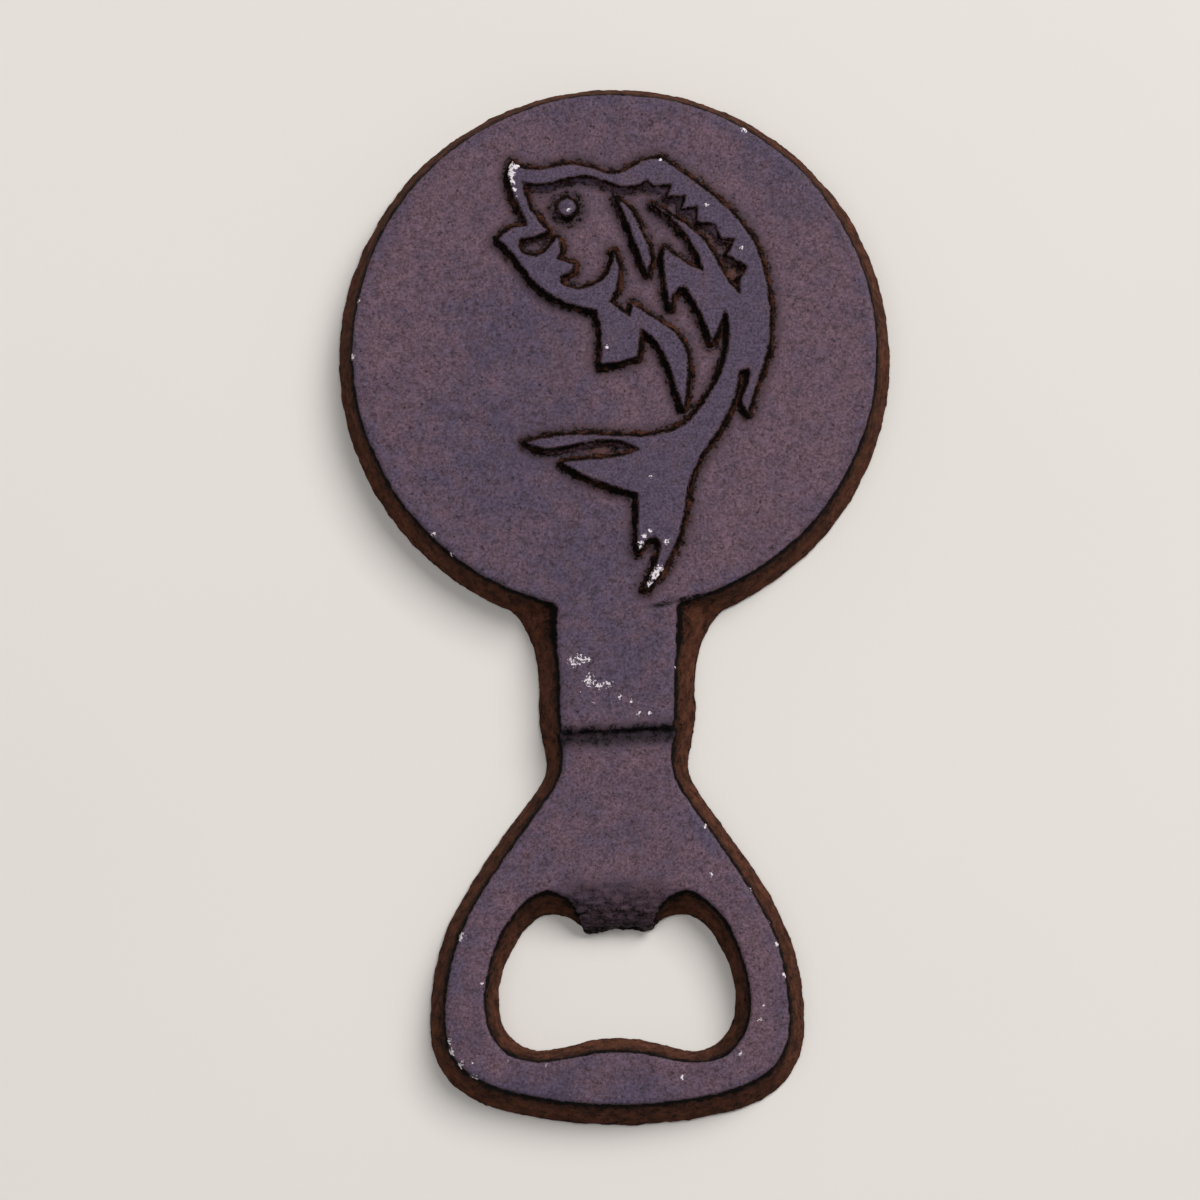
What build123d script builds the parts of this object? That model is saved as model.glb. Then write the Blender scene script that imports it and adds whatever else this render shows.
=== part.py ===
from build123d import *
import os
from math import radians, tan

# A cast-iron bottle opener: a round medallion with a fish in relief, a neck and an opener loop.
# It lies on its flat back, z = 0. +Y points from the loop to the medallion and +Z out of the
# face, and the origin is the centre of the footprint. Lengths are millimetres, angles degrees.
# It is one pour of iron, so the nodes are its own features, and they meet face to face.

# Overall size
length = 140.0
disc_radius = 37.2
disc_thickness = 6.5
opener_thickness = 5.8
draft_angle = 20.0
relief_height = 1.2

# Places that the rest hangs from
disc_centre_y = length / 2 - disc_radius
opener_axis_x = 0.3
step_y = -18.5

# Right half of the plan of neck and loop at the back, from the opener's axis: the flare out of
# the disc, the neck, the waist, the shoulder, and round the loop to its lowest point
plan_flank = [
    (15.0, 0.0),
    (12.3, -4.3),
    (10.9, -8.6),
    (10.3, step_y),
    (9.7, -22.8),
    (11.2, -25.9),
    (14.4, -30.4),
    (18.3, -36.0),
    (21.5, -41.4),
    (23.7, -47.0),
    (24.8, -53.5),
    (24.6, -59.3),
    (22.3, -64.2),
    (18.6, -66.8),
    (13.0, -68.6),
    (0.0, -length / 2),
]
flare_direction = (-0.55, -1)

# Right half of the opening at the face and at the back, from the top of its corner notch round
# to the fulcrum in the middle of its lower side
window_face = [
    (8.9, -39.1),
    (12.3, -40.8),
    (15.2, -44.6),
    (16.9, -49.2),
    (17.6, -53.8),
    (16.9, -57.6),
    (14.7, -60.6),
    (10.0, -61.9),
    (5.0, -61.1),
    (0.0, -60.6),
]
window_back = [
    (8.6, -42.3),
    (11.0, -43.2),
    (13.2, -45.9),
    (14.9, -49.6),
    (15.4, -53.5),
    (14.7, -56.8),
    (12.6, -59.1),
    (9.4, -59.8),
    (5.0, -58.8),
    (0.0, -58.1),
]

# Lip that catches the cap: right half of its plan, and the profile of its sloping nose
lip_root = (7.0, -38.6)
lip_nib = (4.4, -44.5)
lip_hollow_y = -43.8
lip_edge = 1.3
nose_top_y = window_face[0][1]
nose_crown = (-42.6, 4.0)

# Fish, seen from the front, in millimetres from the disc's centre. Each stroke carries on from
# the one before, as a curve or as straight cuts, clockwise from the snout.
snout = (-13.6, 25.3)
fish_strokes = [
    # brow, back and the rear edge of the first fin
    ("curve", [(-11.3, 24.3), (-5.3, 25.0), (0.2, 23.8), (4.7, 25.8), (6.3, 25.8)]),
    ("curve", [(10.1, 23.1), (14.6, 19.4), (18.3, 14.9), (20.2, 9.0), (20.6, 2.0), (19.4, -3.2)]),
    # small fin in front of the tail, and the hollow between the two
    ("curve", [(18.4, -6.2), (17.7, -8.5)]),
    ("curve", [(17.0, -7.0), (17.6, -5.0), (17.9, -2.7)]),
    ("cut", [(16.5, -3.0)]),
    ("curve", [(16.1, -5.6), (15.1, -8.3)]),
    # stalk of the tail and its lower lobe
    ("curve", [(12.9, -12.2), (10.2, -16.9), (9.0, -23.0), (7.0, -28.4), (4.0, -32.3)]),
    ("curve", [(5.5, -28.9), (6.2, -26.2)]),
    ("cut", [(5.3, -25.3), (4.2, -25.8), (3.1, -27.2), (3.1, -19.6)]),
    # left lobe of the tail, split by a slot
    ("curve", [(-0.6, -18.4), (-4.6, -16.8), (-6.9, -15.4)]),
    ("curve", [(-3.3, -15.0), (0.4, -14.6), (3.3, -13.6)]),
    ("curve", [(0.7, -12.5), (-3.3, -12.5), (-8.8, -13.5), (-11.6, -12.7)]),
    ("curve", [(-7.9, -11.9), (-1.9, -11.7), (4.5, -11.8), (8.7, -10.6), (10.9, -8.6)]),
    # belly and the two spurs above it
    ("curve", [(12.9, -5.8), (14.6, -2.0), (15.3, 2.0), (14.7, 5.4)]),
    ("curve", [(13.8, 2.9), (12.9, 0.9)]),
    ("curve", [(11.7, 4.4), (9.3, 8.6)]),
    ("curve", [(8.2, 7.9), (7.4, 5.8)]),
    ("curve", [(6.8, 8.8), (6.6, 13.7)]),
    # leaf-shaped slot behind the gill, and the band above it
    ("curve", [(8.8, 12.0), (11.8, 10.5)]),
    ("curve", [(10.9, 13.4), (7.7, 17.6), (4.5, 20.1)]),
    ("curve", [(8.0, 17.8), (12.3, 14.2), (14.3, 10.5), (16.8, 7.3)]),
    # saw-toothed inner edge of the back
    ("cut", [(16.7, 9.4), (17.8, 11.1), (15.1, 12.7), (16.1, 14.9), (14.2, 15.0), (13.4, 16.9)]),
    ("cut", [(11.0, 17.3), (11.1, 19.4), (9.0, 19.0), (9.5, 20.8), (7.1, 20.7), (7.7, 22.4)]),
    ("cut", [(5.2, 22.1), (4.4, 23.0)]),
    # under the brow, down the upper jaw and round the mouth
    ("curve", [(1.0, 22.1), (-3.8, 23.5), (-8.9, 22.5), (-12.4, 22.7)]),
    ("curve", [(-11.5, 19.4), (-8.9, 16.0)]),
    ("curve", [(-10.6, 15.3), (-12.6, 15.0)]),
    ("curve", [(-12.5, 13.2), (-10.6, 12.5), (-8.9, 13.6), (-7.7, 15.1)]),
    ("curve", [(-7.3, 13.8), (-7.7, 12.2)]),
    ("cut", [(-5.5, 11.4), (-5.6, 10.7), (-7.2, 9.8), (-7.3, 9.0)]),
    # cheek, gill spur and the long blade of the fin
    ("curve", [(-4.3, 8.1), (-1.9, 9.1), (-0.2, 13.1)]),
    ("curve", [(0.5, 10.3), (-0.8, 6.3)]),
    ("cut", [(2.0, 4.3), (2.4, 6.1)]),
    ("curve", [(5.8, 3.7), (8.7, 1.2), (9.7, -3.4), (9.1, -7.9)]),
    ("curve", [(8.0, -4.5), (6.6, -0.7), (3.4, 2.7)]),
    ("cut", [(3.0, -1.1), (0.4, -1.8), (-1.9, -2.1)]),
    ("curve", [(-1.8, 2.4), (-2.4, 5.2)]),
    # throat, lower lip and the front of the jaw
    ("curve", [(-6.9, 6.5), (-10.2, 8.6), (-12.9, 12.0), (-15.4, 14.8)]),
    ("curve", [(-14.4, 15.9), (-11.7, 16.7)]),
    ("curve", [(-12.9, 19.7), (-14.1, 23.4), (-13.6, 25.3)]),
]

gill_start = (0.3, 20.2)
gill_strokes = [
    ("curve", [(2.1, 18.7), (3.5, 16.0), (4.7, 12.4), (4.3, 10.4)]),
    ("curve", [(3.1, 13.6), (1.7, 17.4), (0.3, 20.2)]),
]

# Eye, from the disc's centre
eye_centre = (-6.4, 19.2)
eye_radius = 1.5
eye_rounding = 0.6


def moved_in(points, distance):
    """Move each point of a half outline, which ends on the axis, square to it into the iron."""
    moved = []
    for index, (x, y) in enumerate(points[:-1]):
        before = points[max(index - 1, 0)]
        after = points[index + 1]
        run = Vector(after[0] - before[0], after[1] - before[1]).normalized()
        moved.append((x + run.Y * distance, y - run.X * distance))
    moved.append((0, points[-1][1] + distance))
    return moved


def draw_half_and_mirror(points, start_direction):
    """Draw a symmetric outline: a straight top, then a curve down to the axis, heading left."""
    Line((0, points[0][1]), points[0])
    Spline(*points, tangents=[start_direction, (-1, 0)], tangent_scalars=(1, 1))
    mirror(about=Plane.YZ)


def draw_strokes(start, strokes):
    """Draw an outline stroke by stroke, each from the end of the one before."""
    here = start
    for kind, points in strokes:
        if kind == "curve":
            Spline(here, *points)
        else:
            Polyline(here, *points)
        here = points[-1]


os.makedirs("parts", exist_ok=True)
opener_plane = Plane(origin=(opener_axis_x, 0, 0))
disc_plane = Plane(origin=(0, disc_centre_y, 0))
face_plane = disc_plane.offset(disc_thickness)
step_plane = Plane.XZ.offset(-step_y)
draft_inset = disc_thickness * tan(radians(draft_angle))

with BuildPart() as medallion_disc:
    with BuildSketch(disc_plane):
        Circle(disc_radius)
    extrude(amount=disc_thickness, taper=draft_angle)

medallion_disc.part.label = "medallion_disc"
export_step(medallion_disc.part, "parts/medallion_disc.step")

# The whole bar below the disc, at the disc's thickness, which the neck and the loop are cut from
with BuildPart() as drafted_bar:
    with BuildSketch(opener_plane):
        with BuildLine():
            draw_half_and_mirror(plan_flank, flare_direction)
        make_face()
    with BuildSketch(opener_plane.offset(disc_thickness)):
        with BuildLine():
            draw_half_and_mirror(moved_in(plan_flank, draft_inset), flare_direction)
        make_face()
    loft(ruled=True)

with BuildPart() as neck_shank:
    add(drafted_bar.part)
    split(bisect_by=step_plane, keep=Keep.BOTTOM)
    add(medallion_disc.part, mode=Mode.SUBTRACT)

neck_shank.part.label = "neck_shank"
export_step(neck_shank.part, "parts/neck_shank.step")

with BuildPart() as opener_loop:
    add(drafted_bar.part)
    split(bisect_by=step_plane, keep=Keep.TOP)
    split(bisect_by=Plane.XY.offset(opener_thickness), keep=Keep.BOTTOM)
    with BuildSketch(opener_plane) as back_opening:
        with BuildLine():
            draw_half_and_mirror(window_back, (1, 0))
        make_face()
    with BuildSketch(opener_plane.offset(opener_thickness)) as face_opening:
        with BuildLine():
            draw_half_and_mirror(window_face, (1, 0))
        make_face()
    loft(sections=[back_opening.sketch, face_opening.sketch], ruled=True, mode=Mode.SUBTRACT)

opener_loop.part.label = "opener_loop"
export_step(opener_loop.part, "parts/opener_loop.step")

with BuildPart() as cap_lip:
    with BuildSketch(opener_plane):
        with BuildLine():
            left_root = (-lip_root[0], lip_root[1])
            left_nib = (-lip_nib[0], lip_nib[1])
            Polyline(lip_nib, lip_root, left_root, left_nib)
            ThreePointArc(left_nib, (0, lip_hollow_y), lip_nib)
        make_face()
    extrude(amount=opener_thickness)
    with BuildSketch(Plane.YZ):
        with BuildLine():
            nose_top = (nose_top_y, opener_thickness)
            nose_tip = (lip_nib[1], lip_edge)
            ThreePointArc(nose_top, nose_crown, nose_tip)
            Polyline(nose_tip, (lip_nib[1], 0), (lip_root[1], 0))
            Polyline((lip_root[1], 0), (lip_root[1], opener_thickness), nose_top)
        make_face()
    extrude(amount=disc_radius, both=True, mode=Mode.INTERSECT)
    add(opener_loop.part, mode=Mode.SUBTRACT)

cap_lip.part.label = "cap_lip"
export_step(cap_lip.part, "parts/cap_lip.step")

with BuildPart() as fish_body:
    with BuildSketch(face_plane):
        with BuildLine():
            draw_strokes(snout, fish_strokes)
        make_face()
    extrude(amount=relief_height)

fish_body.part.label = "fish_body"
export_step(fish_body.part, "parts/fish_body.step")

with BuildPart() as fish_gill_bar:
    with BuildSketch(face_plane):
        with BuildLine():
            draw_strokes(gill_start, gill_strokes)
        make_face()
    extrude(amount=relief_height)

fish_gill_bar.part.label = "fish_gill_bar"
export_step(fish_gill_bar.part, "parts/fish_gill_bar.step")

with BuildPart() as fish_eye:
    with BuildSketch(face_plane):
        with Locations(eye_centre):
            Circle(eye_radius)
    extrude(amount=relief_height)
    fillet(fish_eye.edges().group_by(Axis.Z)[-1], eye_rounding)

fish_eye.part.label = "fish_eye"
export_step(fish_eye.part, "parts/fish_eye.step")
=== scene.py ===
import itertools
import math

import bmesh
import bpy
import numpy as np
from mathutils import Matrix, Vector, noise


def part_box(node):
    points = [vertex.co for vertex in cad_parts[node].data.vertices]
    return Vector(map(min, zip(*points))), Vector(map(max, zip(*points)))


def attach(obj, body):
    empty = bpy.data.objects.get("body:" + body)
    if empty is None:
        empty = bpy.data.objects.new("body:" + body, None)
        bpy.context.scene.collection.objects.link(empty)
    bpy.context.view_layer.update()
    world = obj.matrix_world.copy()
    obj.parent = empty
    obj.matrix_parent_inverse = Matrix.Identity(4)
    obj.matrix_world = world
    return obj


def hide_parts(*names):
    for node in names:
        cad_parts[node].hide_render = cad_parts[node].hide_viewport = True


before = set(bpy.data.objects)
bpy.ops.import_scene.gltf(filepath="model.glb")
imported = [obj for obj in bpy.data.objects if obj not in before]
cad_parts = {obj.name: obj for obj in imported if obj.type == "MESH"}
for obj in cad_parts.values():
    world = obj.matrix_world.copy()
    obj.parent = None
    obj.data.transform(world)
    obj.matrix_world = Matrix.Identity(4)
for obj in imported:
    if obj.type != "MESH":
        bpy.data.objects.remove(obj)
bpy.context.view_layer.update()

# A cast-iron bottle opener: each CAD node is replaced by a dense mesh with the rounded edges,
# drafted walls and sandy skin of a casting. Shapes are worked out in millimetres, as fields
# that are negative in the iron, and meshed where they pass through zero.
MM = 0.001

# Mesh sizes, which keep each piece below 200,000 triangles
plate_step = 0.33
lip_step = 0.2
relief_step = 0.162

# Plate: the rounding of its face's edge, its back's edge and its inner corners
edge_rounding = 0.35
back_rounding = 0.7
inner_fillet = 0.8
# How far its walls lean out for each mm down: about the middle of the loop, and at neck and end
loop_lean = 0.43
end_lean = 0.5
lean_middle, lean_near, lean_far = -41, 16, 24
# Neck: half the width of its face, and how far its sides spread for each mm down
neck_half = 7.6
neck_spread = 1.1
# Step from neck to loop: how far above the CAD's step it lies, its run, and its slant across
step_rise = 0.55
step_run = 0.6
step_tilt = 0.05
# How far its line wavers
step_waver = 0.12
# How far above the step the loop's piece ends
loop_overrun = 1.6
# Groove below the disc: its depth, its half width, and where along X it fades in
groove_drop = 0.22
groove_width = 0.35
groove_from, groove_to = 2.5, 6

# Lip: half its width at the nibs, how askew its tip is, and the hollow between the nibs
lip_nib = 4.4
lip_tilt = 0.05
lip_hollow = 0.5
# Where its slope starts above its root, how far it falls, how hollow its fall is, and how far past
# the nibs it goes on
lip_slope_start = 1.6
lip_drop = 4.5
lip_curve = 2.2
lip_beyond = 2.0
# The fillet in the corners beside it, the rounding of its nibs, and the lean of its sides
lip_fillet = 3.0
nib_rounding = 0.5
lip_side_draft = 0.12
# Its piece: half the width, how far below the CAD lip's root it starts, and how its skin and the
# loop's dive under each other past the seam
lip_half = 7.4
lip_cut = 1.6
seam_slope = 0.25
seam_overlap = 0.8

# Relief: how far its walls spread for each mm down, how far it grows past the CAD's outline, the
# rounding of its top, how deep it reaches into the disc, and how far out the plate sees its foot
relief_flare = 0.7
relief_growth = -0.02
relief_rounding = 0.2
relief_root = 0.25
relief_foot = 0.85
# How far outside its CAD box its mesh may reach
relief_margin = 1.5
# The eye is smaller, steeper and rounder
eye_growth = -0.35
eye_flare = 0.5
eye_rounding = 0.6
# A low bead of the disc's face that leads up to the relief
bead_width = 1.6
bead_height = 0.12

# Casting skin: heights and widths of its swells, lumps and grain
swell, swell_width = 0.1, 7.0
lump, lump_width = 0.045, 1.7
grain, grain_width = 0.03, 0.55
# How much larger lumps and grain are on the plate's walls, the relief's walls, the nose and the step
plate_walls = 2.5
relief_walls = 12.0
nose_roughness = 4.0
step_roughness = 3.5
# Ripples across the nose, and weaker ones at the step
ripple, ripple_size = 0.32, (1.9, 0.5, 0.6)
step_ripple = 0.6


def box_mm(node):
    """Lowest and highest corner of a CAD node, in mm."""
    lo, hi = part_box(node)
    return np.array(lo) / MM, np.array(hi) / MM


disc_lo, disc_hi = box_mm("medallion_disc")
loop_lo, loop_hi = box_mm("opener_loop")
lip_lo, lip_hi = box_mm("cap_lip")
relief_lo, relief_hi = box_mm("fish_body")
disc_x, disc_y = (disc_lo[:2] + disc_hi[:2]) / 2
disc_radius = disc_hi[0] - disc_x
disc_face = disc_hi[2]
opener_face = loop_hi[2]
step_y = loop_hi[1]
opener_x = (lip_lo[0] + lip_hi[0]) / 2
lip_end = lip_lo[1] - lip_beyond


# Fields


def smooth_max(a, b, blend):
    """The larger of a and b, with the corner where they meet rounded off."""
    near = np.maximum(blend - np.abs(a - b), 0)
    return np.maximum(a, b) + near * near / (4 * blend)


def smooth_step(value, low, high):
    """0 below low, 1 above high, and a smooth rise between them."""
    share = np.clip((value - low) / (high - low), 0, 1)
    return share * share * (3 - 2 * share)


def outlines(node, z):
    """Closed outlines of a CAD node's flat face at height z, the widest first, as rows of x, y."""
    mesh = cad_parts[node].data
    mesh.calc_loop_triangles()
    places = np.array([v.co for v in mesh.vertices]) / MM
    corners = np.array([t.vertices for t in mesh.loop_triangles])
    flat = np.all(np.abs(places[corners][:, :, 2] - z) < 1e-3, axis=1)
    points, number = np.unique(places[:, :2].round(3), axis=0, return_inverse=True)
    sides = set()
    for a, b, c in number.reshape(-1)[corners[flat]].tolist():
        sides.update([(a, b), (b, c), (c, a)])
    following = {a: b for a, b in sorted(sides) if (b, a) not in sides}
    loops = []
    while following:
        start, here = following.popitem()
        loop = [start]
        while here != start:
            loop.append(here)
            here = following.pop(here)
        loops.append(points[loop])
    return sorted(loops, key=lambda loop: -np.ptp(loop[:, 0]))


def edges_of(loop):
    """The straight edges of a closed outline."""
    return np.stack([loop, np.roll(loop, -1, axis=0)], axis=1)


def outline_distance(edges, x, y):
    """Distance from (x, y) to the nearest edge, negative inside the outline that they make."""
    nearest = np.full(np.broadcast(x, y).shape, np.inf)
    inside = np.zeros(nearest.shape, bool)
    for (ax, ay), (bx, by) in edges:
        dx, dy = bx - ax, by - ay
        along = np.clip(((x - ax) * dx + (y - ay) * dy) / (dx * dx + dy * dy), 0, 1)
        nearest = np.minimum(nearest, np.hypot(x - ax - along * dx, y - ay - along * dy))
        if dy:
            inside ^= ((ay > y) != (by > y)) & (x < ax + (y - ay) * dx / dy)
    return np.where(inside, -nearest, nearest)


class PlanMap:
    """An outline's distance on the plan, kept on a square grid so that it is quick to read."""

    def __init__(self, edges, margin, step):
        """Works the distances out on a grid that reaches a margin past the edges."""
        self.low = edges.min((0, 1)) - margin
        self.step = step
        self.last = np.ceil((np.ptp(edges, (0, 1)) + 2 * margin) / step).astype(int)
        x = self.low[0] + step * np.arange(self.last[0] + 1)
        y = self.low[1] + step * np.arange(self.last[1] + 1)
        self.values = outline_distance(edges, x[:, None], y[None, :])

    def __call__(self, x, y):
        """The distance at (x, y), blended from the four nearest points of the grid."""
        u = np.clip((x - self.low[0]) / self.step, 0, self.last[0] - 1e-6)
        v = np.clip((y - self.low[1]) / self.step, 0, self.last[1] - 1e-6)
        i, j = u.astype(int), v.astype(int)
        u, v = u - i, v - j
        left = self.values[i, j] * (1 - v) + self.values[i, j + 1] * v
        right = self.values[i + 1, j] * (1 - v) + self.values[i + 1, j + 1] * v
        return left * (1 - u) + right * u


def bar_edges():
    """Outline of neck and loop at the back as one bar, which runs on up into the disc."""
    edges = np.concatenate(
        [edges_of(outlines("neck_shank", 0)[0]), edges_of(outlines("opener_loop", 0)[0])]
    )
    middle = edges.mean(1)
    from_disc = np.hypot(middle[:, 0] - disc_x, middle[:, 1] - disc_y) - disc_radius
    shared = (np.abs(from_disc) < 0.05) | (np.abs(middle[:, 1] - step_y) < 0.01)
    edges = edges[~shared]
    ends = edges.reshape(-1, 2)
    runs = []
    for side in (-1, 1):
        half = ends[ends[:, 0] * side > 0]
        top = half[np.argmax(half[:, 1])]
        runs.append([top, [top[0], disc_y]])
    return np.concatenate([edges, runs])


bar_plan = PlanMap(bar_edges(), margin=3, step=0.25)
hole_back = PlanMap(edges_of(outlines("opener_loop", 0)[1]), margin=4, step=0.25)
hole_face = PlanMap(edges_of(outlines("opener_loop", opener_face)[1]), margin=4, step=0.25)
fish_plan = PlanMap(edges_of(outlines("fish_body", relief_hi[2])[0]), margin=4, step=0.15)
gill_plan = PlanMap(edges_of(outlines("fish_gill_bar", relief_hi[2])[0]), margin=2, step=0.15)
eye_plan = PlanMap(edges_of(outlines("fish_eye", relief_lo[2])[0]), margin=2, step=0.15)
face_rim = outlines("medallion_disc", disc_face)[0]
draft = (disc_radius - np.ptp(face_rim[:, 0]) / 2) / disc_face


def relief_distance(x, y):
    """Distance on the plan from the nearest of the fish, its gill bar and its eye."""
    return np.minimum(np.minimum(fish_plan(x, y), gill_plan(x, y)), eye_plan(x, y))


def step_line(x):
    """Where the neck's face ends, which is a little askew and uneven."""
    waver = step_waver * np.sin(1.3 * x) * np.cos(0.7 * x + 1)
    return step_y + step_rise + step_tilt * x + waver


def groove_depth(x, y):
    """A shallow groove that carries the disc's lower edge a little way across the neck, 0 to 1."""
    from_edge = np.hypot(x - disc_x, y - disc_y) - disc_radius + disc_face * draft
    across = np.exp(-((from_edge / groove_width) ** 2))
    return across * smooth_step(x, groove_from, groove_to) * (y < 0)


def face_height(x, y):
    """Height of the face: disc and neck, the step down, the lip's slope, a bead round the relief."""
    below = smooth_step(step_line(x) - y, 0, step_run)
    bead = 1 - smooth_step(relief_distance(x, y), 0, bead_width)
    start = lip_hi[1] + lip_slope_start
    slope = np.clip((start - y) / (start - lip_lo[1]), 0, 1.1) * (y > lip_end)
    fall = lip_drop * slope**lip_curve * (1 - smooth_step(np.abs(x - opener_x), lip_half, lip_half + 2))
    drop = (disc_face - opener_face) * below + fall + groove_drop * groove_depth(x, y)
    return disc_face - drop + bead_height * bead


def lip_walls(x, y, z):
    """The lip's plan: sides that close towards two nibs, and a hollow tip between them."""
    across = np.abs(x - opener_x)
    share = np.clip((lip_hi[1] - y) / (lip_hi[1] - lip_lo[1]), 0, 1)
    root = lip_hi[0] - opener_x
    sides = across - root + (root - lip_nib) * share
    hollow = lip_hollow * np.clip(1 - (across / lip_nib) ** 2, 0, 1)
    tip = lip_lo[1] + lip_tilt * (x - opener_x) + hollow - y
    return smooth_max(smooth_max(sides, tip, nib_rounding) + z * lip_side_draft, y - lip_hi[1] - 3, 0.2)


def casting_field(x, y, z):
    """Disc, neck, loop and lip, with their draft, the opening and rounded edges."""
    disc = np.hypot(x - disc_x, y - disc_y) - disc_radius + z * draft
    lean = smooth_step(np.abs(y - lean_middle), lean_near, lean_far)
    lean = loop_lean + (end_lean - loop_lean) * lean
    bar = bar_plan(x, y) + z * lean
    neck = np.abs(x - opener_x) - neck_half - neck_spread * (disc_face - z)
    bar = np.where(y > step_y, np.maximum(bar, neck), bar)
    body = -smooth_max(-disc, -bar, inner_fillet)
    share = np.clip(z / opener_face, 0, 1)
    hole = (1 - share) * hole_back(x, y) + share * hole_face(x, y)
    walls = np.maximum(body, -hole)
    walls = -smooth_max(-walls, -lip_walls(x, y, z), lip_fillet)
    return smooth_max(smooth_max(walls, z - face_height(x, y), edge_rounding), -z, back_rounding)


def lip_zone(x, y):
    """Distance on the plan from the area that belongs to the lip, negative inside it."""
    along = np.maximum(y - lip_hi[1] + lip_cut, lip_end - y)
    return np.maximum(np.abs(x - opener_x) - lip_half, along)


def plate_field(x, y, z):
    """The casting without its lip. Past the seam its skin dives under the lip's, so neither shows."""
    past = -lip_zone(x, y)
    return np.maximum(casting_field(x, y, z) + seam_slope * np.maximum(past, 0), past - seam_overlap)


def lip_field(x, y, z):
    """The lip, whose skin dives under the plate's past the same seam."""
    past = lip_zone(x, y)
    return np.maximum(casting_field(x, y, z) + seam_slope * np.maximum(past, 0), past - seam_overlap)


def relief_field(plan, growth, flare, rounding):
    """A raised piece that stands on the disc, with walls that spread towards their foot."""
    top = relief_hi[2]

    def field(x, y, z):
        wall = (plan(x, y) - growth - (top - z) * flare) / math.hypot(1, flare)
        return smooth_max(smooth_max(wall, z - top, rounding), relief_lo[2] - relief_root - z, 0.1)

    return field


# Meshing


def surface_net(field, low, high, step):
    """Points and quads of the surface field = 0, with a point in each cell that it crosses."""
    low, high = np.array(low) - 2 * step, np.array(high) + 2 * step
    axes = [low[a] + step * np.arange(math.ceil((high[a] - low[a]) / step) + 1) for a in range(3)]
    values = field(axes[0][:, None, None], axes[1][None, :, None], axes[2][None, None, :])
    solid = values < 0
    cells = np.array(solid.shape) - 1
    count = sum(
        solid[i : cells[0] + i, j : cells[1] + j, k : cells[2] + k].astype(np.int8)
        for i, j, k in itertools.product((0, 1), repeat=3)
    )
    crossed = np.argwhere((count > 0) & (count < 8))
    number = np.full(cells, -1)
    number[tuple(crossed.T)] = np.arange(len(crossed))
    total, hits, quads = np.zeros((len(crossed), 3)), np.zeros(len(crossed)), []
    for axis in range(3):
        one, two = (axis + 1) % 3, (axis + 2) % 3
        for i, j in itertools.product((0, 1), repeat=2):
            start = crossed.copy()
            start[:, one] += i
            start[:, two] += j
            end = start.copy()
            end[:, axis] += 1
            a, b = values[tuple(start.T)], values[tuple(end.T)]
            cut = (a < 0) != (b < 0)
            place = start[cut].astype(float)
            place[:, axis] += a[cut] / (a[cut] - b[cut])
            total[cut] += place
            hits[cut] += 1
        lower, upper = solid.take(range(cells[axis]), axis), solid.take(range(1, cells[axis] + 1), axis)
        for leaves in (True, False):
            corner = np.argwhere((lower != upper) & (lower == leaves))
            across, up = np.eye(3, dtype=int)[one], np.eye(3, dtype=int)[two]
            ring = [corner - across - up, corner - up, corner, corner - across]
            ring = [number[tuple(c.T)] for c in ring]
            quads.append(np.stack(ring if leaves else ring[::-1], axis=1))
    return low + step * total / hits[:, None], np.concatenate(quads)


def settle(points, field, step):
    """Moves the points onto the surface, and returns them with the directions that face out."""
    reach = 0.05
    for _ in range(3):
        slope = np.empty_like(points)
        for axis in range(3):
            ahead, behind = points.copy(), points.copy()
            ahead[:, axis] += reach
            behind[:, axis] -= reach
            slope[:, axis] = (field(*ahead.T) - field(*behind.T)) / (2 * reach)
        steepness = np.maximum((slope**2).sum(1), 0.05)
        move = np.clip(field(*points.T) / steepness, -step, step)
        points = points - slope * move[:, None]
    return points, slope / np.sqrt(steepness)[:, None]


def cast_skin(points, facing, walls):
    """Moves the points in and out as sand leaves iron, and keeps the back on the ground."""
    places = [Vector(p) for p in points.tolist()]
    upright = 1 - np.abs(facing[:, 2])
    shift = lump * np.array([noise.noise(p / lump_width) for p in places])
    shift += grain * np.array([noise.noise(p / grain_width) for p in places])
    x, y = points[:, 0], points[:, 1]
    near_step = np.exp(-(((y - step_line(x)) / 1.2) ** 2))
    shift *= 1 + walls * upright + nose_roughness * lip_shade(x, y) + step_roughness * near_step
    shift += swell * (0.5 + upright) * np.array([noise.noise(p / swell_width) for p in places])
    rows = [Vector(p) for p in (points / ripple_size).tolist()]
    rippled = ripple * (lip_shade(x, y) + step_ripple * near_step * (1 - upright))
    shift += rippled * np.array([noise.noise(p) for p in rows])
    points = points + facing * shift[:, None]
    points[:, 2] = np.maximum(points[:, 2], 0)
    return points


def cast_mesh(name, field, low, high, step, walls=plate_walls):
    """A closed, cast-looking mesh of a field, in metres."""
    points, quads = surface_net(field, low, high, step)
    points, facing = settle(points, field, step)
    points = cast_skin(points, facing, walls)
    mesh = bpy.data.meshes.new(name)
    mesh.from_pydata((points * MM).tolist(), [], quads.tolist())
    mesh.shade_smooth()
    return mesh


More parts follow.
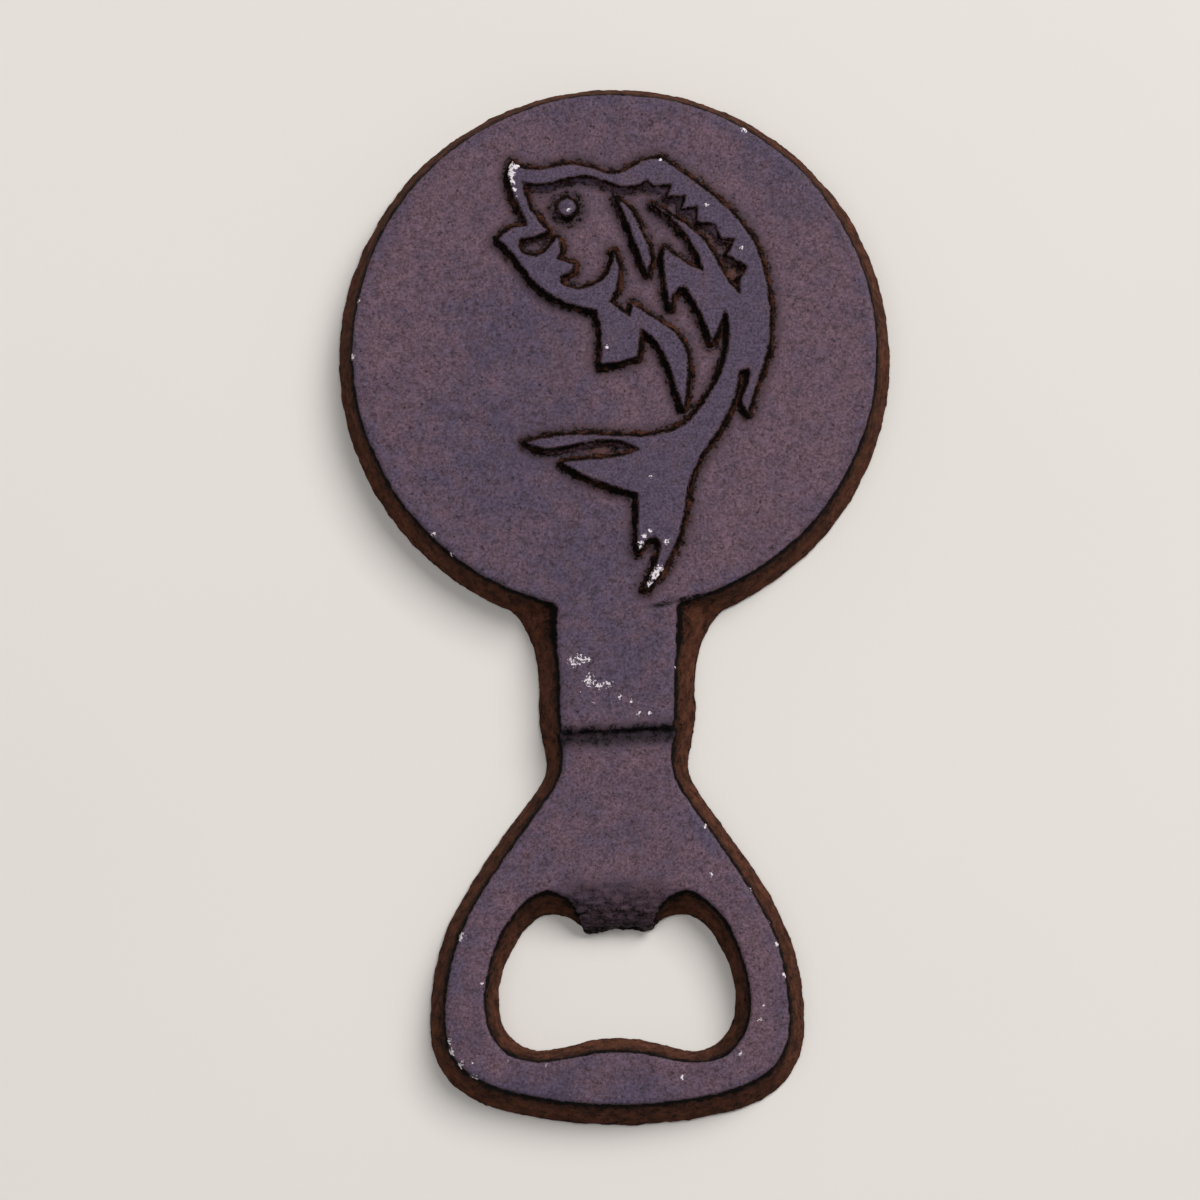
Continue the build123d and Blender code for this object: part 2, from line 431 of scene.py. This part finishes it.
def cut_mesh(mesh, name, low_y, high_y):
    """A closed copy of the part of a mesh that lies between two places along Y, in mm."""
    work = bmesh.new()
    work.from_mesh(mesh)
    for y, side in ((low_y, -1), (high_y, 1)):
        if y is None:
            continue
        everything = work.verts[:] + work.edges[:] + work.faces[:]
        cut = bmesh.ops.bisect_plane(
            work,
            geom=everything,
            dist=1e-7,
            plane_co=(0, y * MM, 0),
            plane_no=(0, side, 0),
            clear_outer=True,
        )
        rim = [e for e in cut["geom_cut"] if isinstance(e, bmesh.types.BMEdge)]
        for edge in rim:
            edge.smooth = False
        bmesh.ops.holes_fill(work, edges=rim, sides=0)
    part = bpy.data.meshes.new(name)
    work.to_mesh(part)
    work.free()
    return part


# Colour layers, painted on the points of each mesh. Each runs from 0 to 1, and the material turns
# the wall layer into a brown that is painted warm reflected light, the black layer into painted
# shade, the shade layer into painted shadow, and the rubbed layer into a smoother, cooler coat
# whose blue is a painted sheen.

# Depths below the plate's face between which its own layers end, its wall's painted reflected
# brown starts, and the wall's rim of painted black shade, its painted shade and its chips fade
face_ends = (0.3, 0.6)
wall_starts = (0.1, 0.45)
rim_fades = (0.6, 1.6)
wall_shade_fades = (0.4, 3.6)
chips_fade = (0.4, 1.2)
# How much of the rim's painted black shade is lost down the wall, how much of it comes back low on
# the wall and how far above the back, and the wall's strongest painted shade
rim_loss = 0.75
back_crease, back_reach = 0.3, 1.2
wall_shade_most = 0.75
# Widths of the narrow and the broad painted shade round the relief, and how far in the rubbed
# edge, with its painted bluish sheen, fades
foot_width, round_foot_width = 0.3, 0.8
worn_sheen_width = (3, 5)
# How much the plate is rubbed, which smooths it and paints a bluish sheen on it: everywhere, at
# its spots of painted sheen and at its edge
rubbed_base, rubbed_cool, rubbed_edge = 0.1, 0.8, 0.35
# How much the relief's foot, the ground at the step and the lip's nose count as wall (painted
# reflected brown), as painted black shade and as painted shade
foot_wall, foot_crease, foot_shade = 0.3, 0.5, 0.5
step_wall, step_crease = 0.2, 0.45
nose_wall, nose_crease, nose_shade = 0.2, 0.45, 0.7
# How black the painted shade at the lip's tip and in the groove is, how far above the CAD's tip
# its black starts, and over what length it grows
tip_crease, groove_crease = 0.7, 0.8
tip_start, tip_full = 1.3, 1.2
# The painted shadow line at the step's drop, measured past its line: where it grows and where it
# fades, and how black it is on average and how much that changes along it
shadow_line_grows, shadow_line_fades = (-0.5, 0.2), (0.2, 1.1)
shadow_line_mean, shadow_line_change = 0.72, 0.28
# The painted shade on the ground at the step: where it grows and where it fades, and how dark it is
ground_grows, ground_fades, ground_dark = (-1.4, 0.3), (1.2, 3.2), 0.95
# The lip's nose: between which distances from its middle it fades, and its share at the root and at
# the tip, each with the height above the lip's root where it starts and the length it grows over
nose_fades = (5, 8.5)
nose_root, root_start, root_full = 0.55, 3.2, 4
nose_tip, nose_start, nose_full = 0.45, -1, 4.2
# The relief's walls: half the width over which its top turns into wall, the depths over which they
# turn low, how far from a place to look to see which way it faces, and about how far apart that is
relief_edge = 0.32
relief_low = (0.3, 0.8)
facing_reach, facing_span = 0.2, 0.56
# How much of their painted black shade the low walls lose, how much less they lose where they face
# down and left, away from the key light, so that they are painted darker there, and the range over
# which they turn that way
bare_low, bare_away, away_turns = 0.6, 0.35, (-0.2, 0.7)
# How much of the walls' painted brown, black shade and shade is taken off at the thin spots, and
# the ranges of their turn down and left and of the distance out over which that grows
thinned, thin_turns, thin_starts = 0.85, (-0.2, 0.4), (0.15, 0.4)
# The walls' shade, how much less it is low down, and how far out the relief's chips fade
relief_shade, low_shade_loss = 0.62, 0.12
relief_chips_fade = (0.1, 0.5)


def spots(x, y, places):
    """Soft round spots that are strongest in the middle."""
    total = np.zeros_like(x)
    for spot_x, spot_y, radius, strength in places:
        spot = strength * np.exp(-((x - spot_x) ** 2 + (y - spot_y) ** 2) / radius**2)
        total = np.maximum(total, spot)
    return total


# Spots are x, y, radius and strength. On disc, neck and fish, x and y are from the disc's centre,
# and on the loop from the origin.
# Spots where the plate is rubbed smoother and painted with a bluish sheen
sheen_on_disc = [
    (-14, -14, 14, 1), (-4, -29, 10, 1), (-14, 3, 9, 1), (25, 27, 8, 1), (0, -42, 9, 1), (0, 31, 12, 0.4),
]
chips_on_disc = [
    (-34.3, 6.7, 0.5, 1), (-35.7, 2.1, 0.7, 0.9), (-35.0, -0.9, 0.6, 1), (-24.1, -24.8, 0.5, 1),
    (-21.7, -27.5, 0.5, 1), (17.5, 30.1, 0.6, 1), (34.8, -6.5, 0.4, 1), (-11.2, -33.8, 0.5, 1),
]
chips_on_neck = [
    (-5.6, -41.9, 1.0, 0.85), (-4.6, -41.5, 1.2, 0.85), (-3.8, -41.6, 0.9, 0.8), (-3.4, -44.4, 1.3, 0.8),
    (-2.1, -45.1, 0.7, 0.9), (-0.9, -44.8, 0.8, 0.9), (0.7, -46.5, 0.5, 1), (2.2, -47.1, 0.3, 1),
    (3.2, -48.7, 0.5, 1), (4.7, -48.6, 0.45, 1), (8.2, -42.7, 0.35, 1), (0.4, -49.3, 0.3, 0.9),
    (-4.6, -46.0, 0.4, 0.8), (-2.9, -47.4, 0.4, 0.8), (-0.3, -47.2, 0.3, 0.8),
]
chips_on_fish = [
    (-13.8, 24.8, 0.8, 1.3), (-13.0, 24.7, 0.5, 1.2), (-13.8, 23.7, 0.7, 1.3), (-13.6, 22.6, 0.5, 1.2),
    (-13.4, 21.6, 0.4, 1.1), (-13.1, 20.7, 0.3, 1),
    (3.4, -26.3, 0.7, 1), (4.0, -25.3, 0.6, 1), (4.7, -24.6, 0.5, 1), (6.9, -26.0, 0.6, 1),
    (5.3, -30.5, 1.0, 1), (4.6, -31.6, 0.8, 1), (5.9, -29.6, 0.7, 1),
    (-1.0, 0.2, 0.4, 1), (4.8, -17.2, 0.4, 0.9), (12.3, 19.6, 0.4, 1), (16.9, 13.7, 0.4, 1),
    (6.2, 25.6, 0.4, 1), (-6.2, 18.8, 0.4, 1), (15.8, 9.9, 0.5, 1),
]
chips_on_loop = [
    (-21.6, -59.0, 0.5, 1), (-21.4, -60.4, 0.7, 1), (-20.4, -62.3, 0.8, 1), (-18.5, -64.0, 0.8, 1),
    (-19.9, -61.7, 0.3, 0.9), (-18.7, -61.8, 0.25, 0.9), (-14.1, -61.7, 0.3, 0.9),
    (-20.3, -45.3, 0.9, 1), (11.9, -30.8, 0.6, 0.9), (12.6, -37.1, 0.5, 0.9), (17.9, -39.1, 0.4, 1),
    (20.5, -43.3, 0.5, 1), (21.3, -46.3, 0.5, 1), (22.2, -50.4, 0.5, 1), (19.5, -54.3, 0.4, 1),
    (-17.5, -51.4, 0.4, 1), (-8.8, -62.0, 0.4, 1), (16.4, -60.7, 0.4, 1), (8.8, -63.7, 0.4, 1),
    (19.0, -56.2, 0.4, 1),
]
# Where the painted shade down the relief's walls that face down and left, away from the key light,
# is made narrower
thin_shade_spots = [
    (-9, 22.3, 3.0, 1), (-4, 22.8, 3.0, 1), (1, 22.2, 3.0, 1), (5.4, 21.8, 2.8, 1), (9.1, 19.2, 2.8, 1),
    (13.3, 15.8, 2.6, 0.9), (15.8, 11.8, 1.8, 0.6), (-11, 18, 1.8, 0.7), (-10.3, 14, 1.8, 0.6),
    (4.5, 14.5, 1.6, 0.4), (-7, -13.6, 2.2, 0.7), (-3, -13.3, 2.2, 0.8), (0.5, -13.2, 2.0, 0.8),
]
rust_on_disc = [
    (15.8, 10.2, 1.8, 0.8), (13.8, 15.6, 1.5, 0.7), (3.4, -13.4, 2.2, 0.6), (-2.0, -13.8, 2.2, 0.6),
]
# Spots where the loop is rubbed smoother and painted with a bluish sheen
sheen_on_loop = [
    (-9, -64, 8, 0.7), (2, -66, 7, 0.7), (-21, -50, 5, 0.5), (-8, -37, 5, 0.5), (12, -31, 3, 0.8),
    (0, -31, 9, 0.4),
]


def paint(mesh, **layers):
    """Stores each layer's values on the mesh's points, for the material to read."""
    for name, values in layers.items():
        layer = mesh.attributes.new(name, "FLOAT", "POINT")
        layer.data.foreach_set("value", np.clip(values, 0, 1).astype(np.float32))


def points_of(mesh):
    """The mesh's points, as x, y and z in mm."""
    values = np.empty(len(mesh.vertices) * 3, np.float32)
    mesh.vertices.foreach_get("co", values)
    return (values.reshape(-1, 3) / MM).astype(float).T


def paint_plate(mesh):
    """Painted reflected brown, painted shade, painted sheen where rubbed, rust and chips of disc, neck,
    loop and lip.
    """
    x, y, z = points_of(mesh)
    depth = face_height(x, y) - z
    on_face = 1 - smooth_step(depth, *face_ends)
    wall = smooth_step(depth, *wall_starts)
    near_back = smooth_step(back_reach - z, 0, back_reach)
    rim = 1 - rim_loss * smooth_step(depth, *rim_fades) + back_crease * near_back
    wall_shade = wall_shade_most * wall * (1 - smooth_step(depth, *wall_shade_fades))
    from_foot = np.maximum(relief_distance(x, y) - relief_foot, 0)
    foot = np.exp(-((from_foot / foot_width) ** 2)) * on_face
    round_foot = np.exp(-((from_foot / round_foot_width) ** 2)) * on_face
    # A painted shadow line at the step's drop, and painted shade on both sides of it
    shadow_line, at_step = step_shades(x, y) * on_face
    groove = groove_depth(x, y)
    inwards = -np.minimum(bar_plan(x, y), np.hypot(x - disc_x, y - disc_y) - disc_radius)
    # A band along the outer edge, rubbed smoother and painted with a bluish sheen
    worn_edge_sheen = 1 - smooth_step(inwards, *worn_sheen_width)
    nose = lip_shade(x, y)
    tip = smooth_step(lip_lo[1] + tip_start - y, 0, tip_full) * (nose > 0.2)
    from_disc = (x - disc_x, y - disc_y)
    sheen_spots = np.maximum(spots(*from_disc, sheen_on_disc), spots(x, y, sheen_on_loop))
    chips = np.maximum(spots(*from_disc, chips_on_disc + chips_on_neck), spots(x, y, chips_on_loop))
    paint(
        mesh,
        rubbed=rubbed_base + rubbed_cool * sheen_spots + rubbed_edge * worn_edge_sheen,
        wall=np.maximum.reduce([wall, foot_wall * round_foot, step_wall * at_step, nose_wall * nose]),
        # Black that is painted shade: rims of walls, the relief's foot, the step, the groove, the lip's
        # nose and tip
        crease=np.maximum.reduce(
            [
                rim * wall,
                foot_crease * foot,
                shadow_line,
                step_crease * at_step,
                groove_crease * groove,
                nose_crease * nose,
                tip_crease * tip,
            ]
        ),
        shade=np.maximum.reduce([foot_shade * round_foot, at_step, nose_shade * nose, wall_shade]),
        rust=spots(*from_disc, rust_on_disc) * on_face,
        chips=chips * (1 - smooth_step(depth, *chips_fade)),
    )


def step_shades(x, y):
    """How black the painted shadow line at the step is, and how dark the painted shade on both sides is,
    as two rows.
    """
    past = step_line(x) - y
    uneven = shadow_line_mean + shadow_line_change * np.sin(1.9 * x) * np.sin(0.8 * x + 2)
    shadow_line = uneven * smooth_step(past, *shadow_line_grows) * (1 - smooth_step(past, *shadow_line_fades))
    ground = ground_dark * smooth_step(past, *ground_grows) * (1 - smooth_step(past, *ground_fades))
    return np.stack([shadow_line, ground])


def lip_shade(x, y):
    """How rough the lip's nose is and how much painted shade it has, rising from its root to its tip."""
    beside = 1 - smooth_step(np.abs(x - opener_x), *nose_fades)
    root = smooth_step(lip_hi[1] + root_start - y, 0, root_full)
    tip = smooth_step(lip_hi[1] + nose_start - y, 0, nose_full)
    return beside * (nose_root * root + nose_tip * tip) * (y > lip_end)


def paint_relief(mesh, plan, growth):
    """The relief is rubbed on top, with a painted sheen, and has painted black shade to reflected brown
    down its walls, darker where they face away from the key light, but for a few thin lines.
    """
    x, y, z = points_of(mesh)
    out = plan(x, y) - growth
    wall = smooth_step(out, -relief_edge, relief_edge)
    low = smooth_step(relief_hi[2] - z, *relief_low)
    # Walls that face down and left, away from the key light, keep more of the painted black shade
    near, far = plan(x - facing_reach, y - facing_reach), plan(x + facing_reach, y + facing_reach)
    away = (near - far) / facing_span
    bare = low * (bare_low - bare_away * smooth_step(away, *away_turns))
    from_disc = (x - disc_x, y - disc_y)
    thin = spots(*from_disc, thin_shade_spots) * smooth_step(away, *thin_turns)
    wall *= 1 - thinned * thin * smooth_step(out, *thin_starts)
    paint(
        mesh,
        rubbed=1 - wall,
        wall=wall,
        crease=wall * (1 - bare),
        shade=wall * (relief_shade - low_shade_loss * low),
        rust=spots(*from_disc, rust_on_disc) * wall * low,
        chips=spots(*from_disc, chips_on_fish) * (1 - smooth_step(out, *relief_chips_fade)),
    )


# Materials

# Between which values cloudy noise mostly stays, and its scales per mm
usual_noise = (0.3, 0.7)
fine_scale, chip_scale, pit_scale = 3.0, 2.8, 1.9
mottle_scale, patch_scale, blotch_scale = 0.9, 0.6, 0.3
# The coat: how much blotches and mottling change how rubbed it is, and so its painted bluish sheen,
# and its grain and mottling
blotch_rub, mottle_rub = 0.45, 0.27
grain_contrast = 0.61
mottle_dark, mottle_bright = 0.75, 1.25
# Pits: the range of noise across their edge, how black they are, and how deep beside the grain
pit_edge, pit_black, pit_depth = 0.05, 0.7, 0.6
# Walls: how much of the grain and pits they keep, and their patches' range of noise and how much
# these darken and brighten them
wall_calm = 0.45
patch_noise, patch_dark, patch_bright = (0.35, 0.65), -0.5, 0.6
# Ragged edges of the walls' painted brown and of the painted black shade: the noise in them, and
# the layers' values they lie between
ragged_mottle, ragged_fine = 2.4, 0.5
wall_edge = (0.15, 0.85)
crease_edge = (0.2, 0.8)
# Shade: how ragged its edge is, and how much light full shade leaves
shade_ragged, shade_light = 0.5, 0.25
# Chips: how much their layer counts beside the noise, and the range of the two's sum at their edge
chip_gain, chip_edge = 0.45, (0.83, 0.89)
# Rust: the range of noise at its edge
rust_edge = (0.35, 0.6)
# Roughness of the grain, what rubbing takes off it, and the walls' roughness
grain_smooth, grain_rough, rubbed_smooth, wall_rough = 0.48, 0.66, 0.08, 0.95
# Bump's height in mm and its strength, and how strongly the iron reflects
bump_height, bump_strength = 0.05, 0.6
iron_specular = 0.1


def linear(red, green, blue):
    """A colour given as it looks on a screen, 0 to 255, in the linear values that shaders take."""
    shares = [c / 255 for c in (red, green, blue)]
    return [c / 12.92 if c < 0.0405 else ((c + 0.055) / 1.055) ** 2.4 for c in shares]


class Nodes:
    """Short names for the shader nodes that the materials use."""

    def __init__(self, material):
        material.use_nodes = True
        self.tree = material.node_tree
        self.shader = self.tree.nodes["Principled BSDF"]

    def put(self, kind, inputs=None, **settings):
        """A new node with its settings, and its inputs either set or linked."""
        made = self.tree.nodes.new("ShaderNode" + kind)
        for name, value in settings.items():
            setattr(made, name, value)
        for name, value in (inputs or {}).items():
            self.feed(made.inputs[name], value)
        return made

    def feed(self, socket, value):
        """Links a node's output to the socket, or sets the socket to a plain value."""
        if isinstance(value, bpy.types.NodeSocket):
            self.tree.links.new(value, socket)
        else:
            socket.default_value = value

    def layer(self, name):
        """A painted layer's value."""
        return self.put("Attribute", attribute_name=name).outputs["Fac"]

    def math(self, operation, a, b=0.0):
        """The result of one operation on two numbers."""
        return self.put("Math", {0: a, 1: b}, operation=operation).outputs[0]

    def level(self, value, low, high, start=0.0, end=1.0):
        """The value rescaled, and held between start and end."""
        inputs = {"Value": value, "From Min": low, "From Max": high, "To Min": start, "To Max": end}
        return self.put("MapRange", inputs).outputs["Result"]

    def swing(self, cloud, low, high):
        """Cloudy noise whose usual range is stretched to run from low to high."""
        return self.level(cloud, *usual_noise, low, high)

    def mix(self, share, a, b):
        """A colour between a and b."""
        a, b = [c if isinstance(c, bpy.types.NodeSocket) else (*c, 1) for c in (a, b)]
        return self.put("Mix", {0: share, 6: a, 7: b}, data_type="RGBA").outputs[2]

    def ragged_edge(self, layer, ragged, low, high):
        """A layer's soft edge drawn tighter, and broken up by a value around zero."""
        where = self.math("MINIMUM", self.level(layer, 0.0, 0.3), self.level(layer, 1.0, 0.75, 0.25))
        broken = self.math("ADD", layer, self.math("MULTIPLY", where, ragged))
        return self.level(broken, low, high)

    def noise(self, place, scale, detail=2.0, roughness=0.5):
        """Cloudy noise around 0.5."""
        inputs = {"Vector": place, "Scale": scale, "Detail": detail, "Roughness": roughness}
        return self.put("TexNoise", inputs).outputs["Fac"]


# The coat, then colours painted for light: a bluish sheen, a brown for warm light reflected onto walls
# and hollows, and a black for shade that also blackens pits; then rust, bare metal and floor
warm_coat = linear(98, 76, 86)
sheen_coat = linear(78, 66, 83)
reflected_brown = linear(80, 46, 32)
crease_black = linear(14, 6, 5)
rust_colour = linear(112, 66, 44)
bare_metal = linear(228, 218, 221)
floor_shade = linear(224, 218, 211)
floor_light = linear(230, 224, 217)


def cast_iron(name, pit_share, sheen_shift=0.0):
    """Dark coated iron: a warm coat, a painted bluish sheen where it is rubbed, walls in painted
    reflected brown, painted black shade and shade, grain, pits and chips.
    """
    material = bpy.data.materials.new(name)
    nodes = Nodes(material)
    place = nodes.put("VectorMath", {0: nodes.put("TexCoord").outputs["Object"]}, operation="SCALE")
    place.inputs["Scale"].default_value = 1 / MM
    place = place.outputs[0]

    fine = nodes.noise(place, fine_scale, detail=3.0, roughness=0.7)
    mottle = nodes.noise(place, mottle_scale, detail=4.0, roughness=0.6)
    blotch = nodes.noise(place, blotch_scale, detail=4.0, roughness=0.6)
    pit_noise = nodes.noise(place, pit_scale, detail=4.0, roughness=0.75)
    pits = nodes.level(pit_noise, pit_share, pit_share - pit_edge)
    calm = nodes.level(nodes.layer("wall"), 0.0, 1.0, 1.0, wall_calm)

    rubbed = nodes.math("ADD", nodes.layer("rubbed"), nodes.swing(blotch, -blotch_rub, blotch_rub))
    rubbed = nodes.math("ADD", rubbed, nodes.swing(mottle, -mottle_rub, mottle_rub))
    rubbed = nodes.level(rubbed, 0.0, 1.0)
    ragged = nodes.math("MULTIPLY", nodes.math("SUBTRACT", mottle, 0.5), ragged_mottle)
    ragged = nodes.math("ADD", ragged, nodes.swing(fine, -ragged_fine, ragged_fine))
    wall = nodes.ragged_edge(nodes.layer("wall"), ragged, *wall_edge)
    crease = nodes.ragged_edge(nodes.layer("crease"), ragged, *crease_edge)
    chips = nodes.math("MULTIPLY", nodes.layer("chips"), chip_gain)
    chips = nodes.math("ADD", chips, nodes.noise(place, chip_scale, detail=2.0, roughness=0.7))
    chips = nodes.level(chips, *chip_edge)
    rust = nodes.math("MULTIPLY", nodes.layer("rust"), nodes.level(pit_noise, *rust_edge))

    # Cooler where rubbed: the blue is a painted sheen
    colour = nodes.mix(rubbed, warm_coat, sheen_coat)
    # Brown on walls and in hollows: painted warm reflected light
    colour = nodes.mix(wall, colour, reflected_brown)
    colour = nodes.mix(rust, colour, rust_colour)
    # Black that is painted shade
    colour = nodes.mix(crease, colour, crease_black)
    pit_mix = nodes.math("MULTIPLY", pits, nodes.math("MULTIPLY", calm, pit_black))
    colour = nodes.mix(pit_mix, colour, crease_black)
    grains = nodes.math("MULTIPLY", nodes.swing(fine, -grain_contrast, grain_contrast), calm)
    brightness = nodes.math("ADD", grains, nodes.swing(mottle, mottle_dark, mottle_bright))
    patches = nodes.noise(place, patch_scale, detail=4.0, roughness=0.65)
    patches = nodes.level(patches, *patch_noise, patch_dark, patch_bright)
    patches = nodes.math("MULTIPLY", patches, wall)
    brightness = nodes.math("MULTIPLY", brightness, nodes.math("ADD", 1.0, patches))
    softly_ragged = nodes.math("MULTIPLY", ragged, shade_ragged)
    shade = nodes.ragged_edge(nodes.layer("shade"), softly_ragged, 0.0, 1.0)
    shade = nodes.level(shade, 0.0, 1.0, 1.0, shade_light)
    brightness = nodes.math("MULTIPLY", brightness, shade)
    colour = nodes.put("VectorMath", {0: colour, "Scale": brightness}, operation="SCALE").outputs[0]
    colour = nodes.mix(chips, colour, bare_metal)
    nodes.feed(nodes.shader.inputs["Base Color"], colour)

    roughness = nodes.swing(fine, grain_smooth, grain_rough)
    sheen = nodes.math("MULTIPLY", rubbed, rubbed_smooth + sheen_shift)
    roughness = nodes.math("SUBTRACT", roughness, sheen)
    roughness = nodes.math("MAXIMUM", roughness, nodes.math("MULTIPLY", wall, wall_rough))
    nodes.feed(nodes.shader.inputs["Roughness"], roughness)
    height = nodes.math("SUBTRACT", fine, nodes.math("MULTIPLY", pits, pit_depth))
    bump = {"Height": height, "Distance": bump_height * MM, "Strength": bump_strength}
    nodes.feed(nodes.shader.inputs["Normal"], nodes.put("Bump", bump).outputs[0])
    nodes.shader.inputs["Specular IOR Level"].default_value = iron_specular
    return material


def add_piece(name, mesh, material, slot, *nodes):
    """Puts a finished mesh in the scene as a piece that stands for its CAD nodes."""
    mesh.name = name
    piece = bpy.data.objects.new(name, mesh)
    bpy.context.scene.collection.objects.link(piece)
    mesh.materials.append(material)
    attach(piece, "root")
    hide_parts(*nodes)
    return piece


# The pieces


def make_plate():
    """Disc, neck and loop are one skin, cut where the neck meets the disc and at the step."""
    low = [disc_lo[0], loop_lo[1], 0]
    high = [disc_hi[0], disc_hi[1], disc_face]
    whole = cast_mesh("plate", plate_field, low, high, plate_step)
    neck_top = disc_lo[1]
    neck_bottom = step_y + loop_overrun
    material = cast_iron("iron_plate", pit_share=0.4)
    for name, node, bottom, top in (
        ("cast_medallion", "medallion_disc", neck_top, None),
        ("cast_neck", "neck_shank", neck_bottom, neck_top),
        ("cast_opener_loop", "opener_loop", None, neck_bottom),
    ):
        mesh = cut_mesh(whole, name, bottom, top)
        paint_plate(mesh)
        add_piece(name, mesh, material, "iron_plate", node)
    bpy.data.meshes.remove(whole)


def make_lip():
    """The lip has a finer mesh of its own, which meets the loop's under the skin."""
    reach = lip_half + seam_overlap
    low = [opener_x - reach, lip_lo[1], 0]
    high = [opener_x + reach, lip_hi[1] - lip_cut + seam_overlap, opener_face]
    mesh = cast_mesh("cast_cap_lip", lip_field, low, high, lip_step)
    paint_plate(mesh)
    add_piece("cast_cap_lip", mesh, cast_iron("iron_lip", pit_share=0.44), "iron_lip", "cap_lip")


def make_relief():
    """Fish, gill bar and eye stand on the disc."""
    material = cast_iron("iron_relief", pit_share=0.38, sheen_shift=0.04)
    for name, node, plan, growth, flare, rounding in (
        ("cast_fish", "fish_body", fish_plan, relief_growth, relief_flare, relief_rounding),
        ("cast_gill_bar", "fish_gill_bar", gill_plan, relief_growth, relief_flare, relief_rounding),
        ("cast_eye", "fish_eye", eye_plan, eye_growth, eye_flare, eye_rounding),
    ):
        lo, hi = box_mm(node)
        lo -= [relief_margin, relief_margin, relief_root]
        hi += [relief_margin, relief_margin, 0]
        field = relief_field(plan, growth, flare, rounding)
        mesh = cast_mesh(name, field, lo, hi, relief_step, relief_walls)
        paint_relief(mesh, plan, growth)
        add_piece(name, mesh, material, "iron_relief", node)


# Floor, light and camera. Floor and softboxes are in metres and watts, and the camera in mm.

floor_size = 8
floor_scale = 9.0
floor_roughness = 0.8
backdrop_colour = (0.93, 0.95, 1.0, 1)
backdrop_strength = 0.22
key_place, key_size, key_watts = (1.05, 1.1, 1.6), 1.2, 44
fill_place, fill_size, fill_watts = (-0.7, -0.1, 2.0), 1.3, 10
camera_tilt = math.radians(8)
camera_distance = 647.5
camera_aim = (-1.95, 0.06)
camera_lens = 145.33
camera_sensor = 36


def make_floor():
    """A plain pale floor."""
    bpy.ops.mesh.primitive_plane_add(size=floor_size)
    floor = bpy.context.object
    floor.name = "floor"
    material = bpy.data.materials.new("pale_floor")
    nodes = Nodes(material)
    cloud = nodes.noise(nodes.put("TexCoord").outputs["Object"], floor_scale)
    colour = nodes.mix(cloud, floor_shade, floor_light)
    nodes.feed(nodes.shader.inputs["Base Color"], colour)
    nodes.shader.inputs["Roughness"].default_value = floor_roughness
    floor.data.materials.append(material)


def add_softbox(name, place, size, watts):
    """A square area light that points at the origin."""
    light = bpy.data.lights.new(name, "AREA")
    light.shape = "SQUARE"
    light.size = size
    light.energy = watts
    lamp = bpy.data.objects.new(name, light)
    lamp.location = place
    lamp.rotation_euler = (-Vector(place)).to_track_quat("-Z", "Y").to_euler()
    lamp.visible_camera = False
    bpy.context.scene.collection.objects.link(lamp)


def make_light():
    """Soft studio light: a dim even backdrop and two softboxes."""
    world = bpy.data.worlds.new("studio")
    world.use_nodes = True
    backdrop = world.node_tree.nodes["Background"]
    backdrop.inputs["Color"].default_value = backdrop_colour
    backdrop.inputs["Strength"].default_value = backdrop_strength
    bpy.context.scene.world = world
    add_softbox("key", key_place, key_size, key_watts)
    add_softbox("fill", fill_place, fill_size, fill_watts)


def make_camera():
    """Looks down on the face, from a little towards the loop."""
    lens = bpy.data.cameras.new("camera")
    lens.lens = camera_lens
    lens.sensor_width = camera_sensor
    camera = bpy.data.objects.new("camera", lens)
    back = camera_distance * math.sin(camera_tilt)
    up = camera_distance * math.cos(camera_tilt)
    camera.location = Vector((camera_aim[0], camera_aim[1] - back, up)) * MM
    camera.rotation_euler = (camera_tilt, 0, 0)
    bpy.context.scene.collection.objects.link(camera)
    bpy.context.scene.camera = camera


make_plate()
make_lip()
make_relief()
make_floor()
make_light()
make_camera()
bpy.context.scene.view_settings.view_transform = "Standard"
